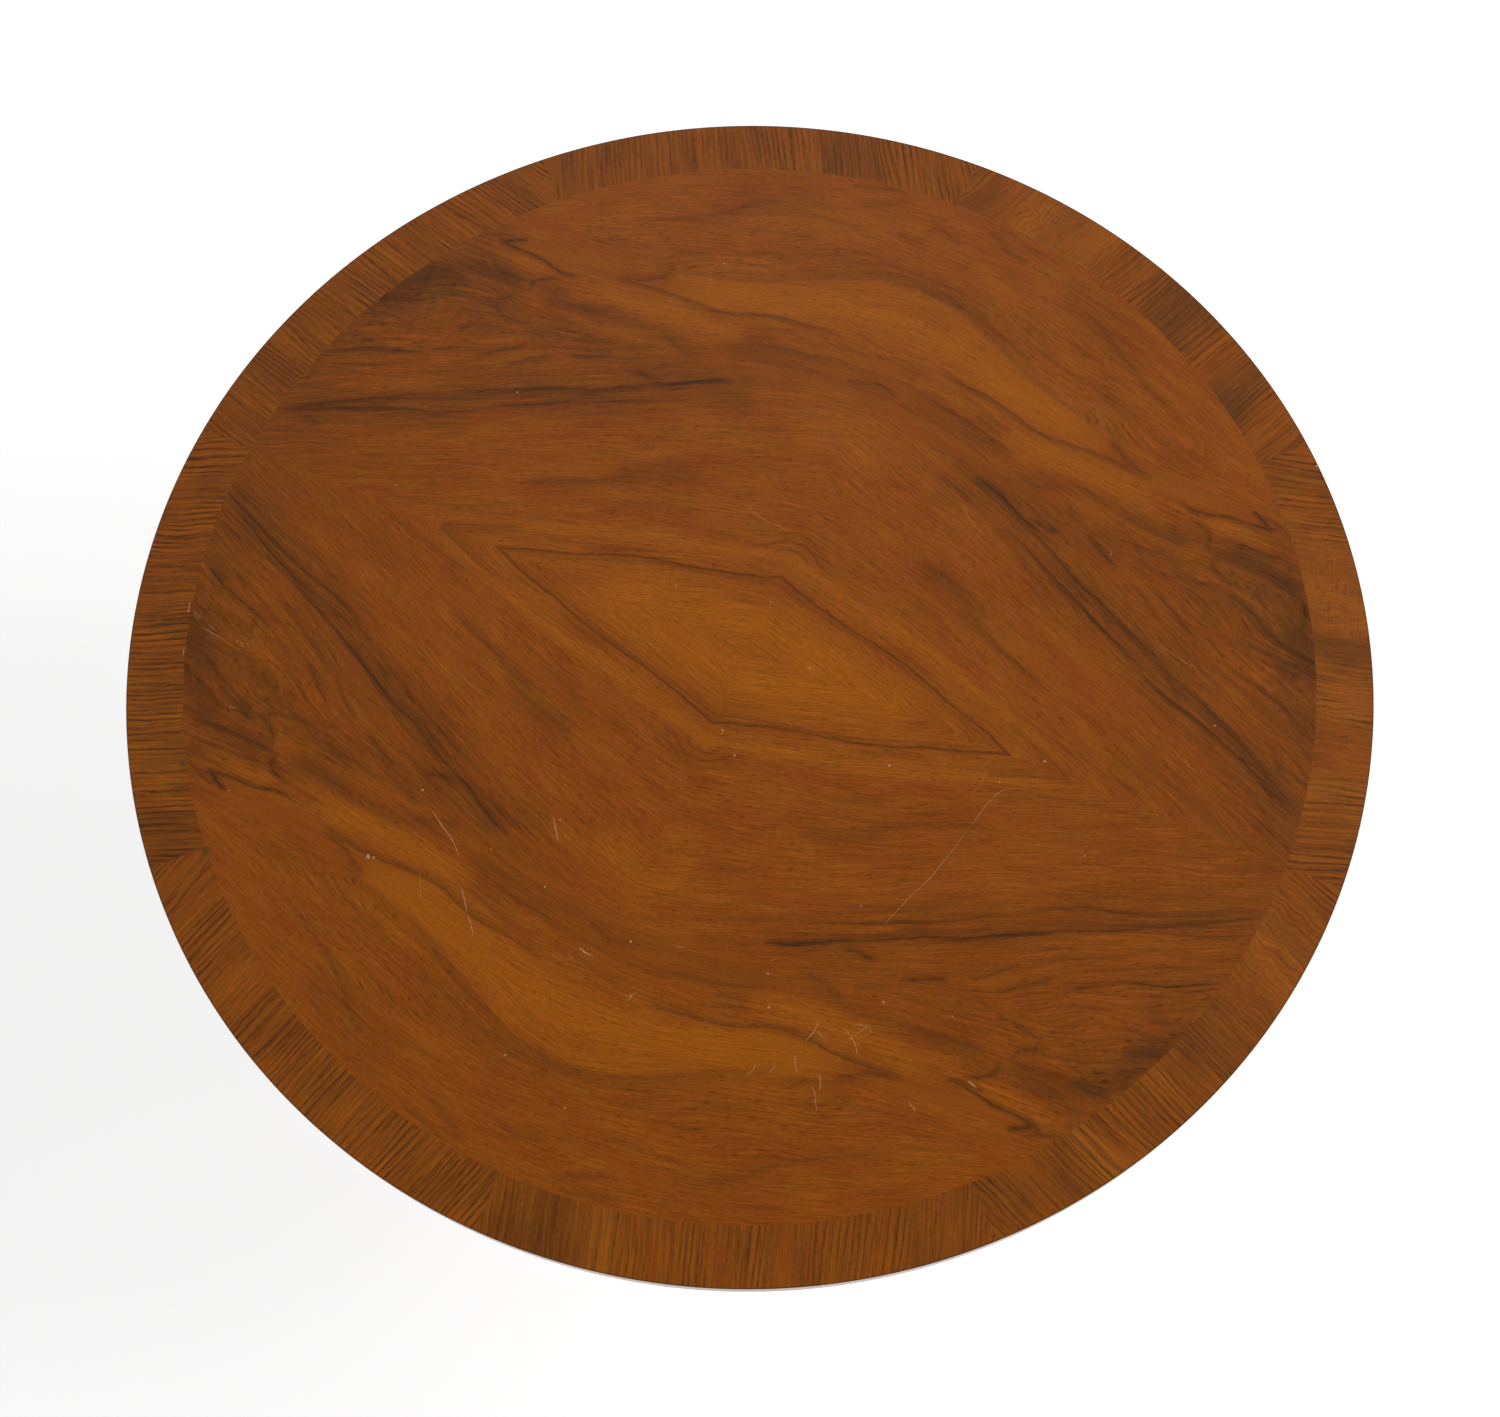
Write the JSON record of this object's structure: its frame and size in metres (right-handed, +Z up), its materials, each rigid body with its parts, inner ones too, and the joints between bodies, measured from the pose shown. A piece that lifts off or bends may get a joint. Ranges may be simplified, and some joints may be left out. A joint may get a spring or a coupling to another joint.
{
  "type": "tilt top table",
  "caption": "Round tilt-top pedestal table: a veneered top that hinges upright on a turned column with sabre legs and castors.",
  "frame": {"origin": "on the floor, under the middle of the column", "axes": "+Z up, X along the line the top tilts about, -Y to the front, where the top hangs when it is tilted"},
  "size_m": [1.1, 1.1, 0.74],
  "materials": {
    "field_veneer": "figured walnut-coloured veneer, satin varnish",
    "crossband_veneer": "straight-grained veneer laid across the edge, satin varnish",
    "edge_wood": "dark polished hardwood",
    "core_wood": "bare softwood board",
    "backing_veneer": "plain veneer, thin varnish",
    "rail_wood": "oiled hardwood rails and block",
    "base_wood": "polished dark hardwood, turned and carved",
    "wedge_wood": "bare oak",
    "brass": "satin cast brass",
    "spring_brass": "rolled spring brass",
    "screw_brass": "turned brass screws",
    "screw_steel": "dull steel wood screws",
    "iron": "black wrought iron"
  },
  "bodies": {
    "pedestal": {"column": "base_wood", "top_block": "rail_wood", "tenon_wedge": "wedge_wood", "pivot_bolt_left": "brass", "pivot_bolt_right": "brass", "keeper_plate": "brass", "keeper_screws": "screw_brass", "brace_plate": "iron", "brace_screws": "screw_steel", "castor_swivel_pins": "screw_steel", "castor_cup_screws": "screw_brass", "leg_1": "base_wood", "leg_2": "base_wood", "leg_3": "base_wood", "leg_4": "base_wood", "castor_cup_1": "brass", "castor_cup_2": "brass", "castor_cup_3": "brass", "castor_cup_4": "brass"},
    "top": {"core_board": "core_wood", "edge_lipping": "edge_wood", "balance_veneer": "backing_veneer", "bearer_left": "rail_wood", "bearer_right": "rail_wood", "bearer_screws": "screw_steel", "pivot_bush_left": "brass", "pivot_bush_right": "brass", "catch_case": "brass", "catch_case_screws": "screw_brass", "field_leaf_1": "field_veneer", "field_leaf_2": "field_veneer", "field_leaf_3": "field_veneer", "field_leaf_4": "field_veneer", "crossband_1": "crossband_veneer", "crossband_2": "crossband_veneer", "crossband_3": "crossband_veneer", "crossband_4": "crossband_veneer", "crossband_5": "crossband_veneer", "crossband_6": "crossband_veneer", "crossband_7": "crossband_veneer", "crossband_8": "crossband_veneer"},
    "bolt": {"catch_bolt": "brass", "catch_knob": "brass", "catch_spring": "spring_brass"},
    "castor_1": {"castor_fork_1": "brass", "castor_axle_1": "screw_steel"},
    "wheel_1": {"castor_wheel_1": "brass"},
    "castor_2": {"castor_fork_2": "brass", "castor_axle_2": "screw_steel"},
    "wheel_2": {"castor_wheel_2": "brass"},
    "castor_3": {"castor_fork_3": "brass", "castor_axle_3": "screw_steel"},
    "wheel_3": {"castor_wheel_3": "brass"},
    "castor_4": {"castor_fork_4": "brass", "castor_axle_4": "screw_steel"},
    "wheel_4": {"castor_wheel_4": "brass"}
  },
  "joints": [
    {"name": "top_tilt", "type": "hinge", "parent": "pedestal", "child": "top", "pos_m": [0, -0.093, 0.6955], "axis": [1, 0, 0], "range_deg": [0, 90]},
    {"name": "catch_slide", "type": "slide", "parent": "top", "child": "bolt", "axis": [0, -1, 0], "range_m": [0, 0.013]},
    {"name": "castor_swivel_1", "type": "hinge", "parent": "pedestal", "child": "castor_1", "pos_m": [0.28143, 0.28143, 0.036], "axis": [0, 0, 1], "continuous": true},
    {"name": "wheel_roll_1", "type": "hinge", "parent": "castor_1", "child": "wheel_1", "pos_m": [0.28991, 0.28991, 0.014], "axis": [-0.7071, 0.7071, 0], "continuous": true},
    {"name": "castor_swivel_2", "type": "hinge", "parent": "pedestal", "child": "castor_2", "pos_m": [-0.28143, 0.28143, 0.036], "axis": [0, 0, 1], "continuous": true},
    {"name": "wheel_roll_2", "type": "hinge", "parent": "castor_2", "child": "wheel_2", "pos_m": [-0.28991, 0.28991, 0.014], "axis": [-0.7071, -0.7071, 0], "continuous": true},
    {"name": "castor_swivel_3", "type": "hinge", "parent": "pedestal", "child": "castor_3", "pos_m": [-0.28143, -0.28143, 0.036], "axis": [0, 0, 1], "continuous": true},
    {"name": "wheel_roll_3", "type": "hinge", "parent": "castor_3", "child": "wheel_3", "pos_m": [-0.28991, -0.28991, 0.014], "axis": [0.7071, -0.7071, 0], "continuous": true},
    {"name": "castor_swivel_4", "type": "hinge", "parent": "pedestal", "child": "castor_4", "pos_m": [0.28143, -0.28143, 0.036], "axis": [0, 0, 1], "continuous": true},
    {"name": "wheel_roll_4", "type": "hinge", "parent": "castor_4", "child": "wheel_4", "pos_m": [0.28991, -0.28991, 0.014], "axis": [0.7071, 0.7071, 0], "continuous": true}
  ]
}
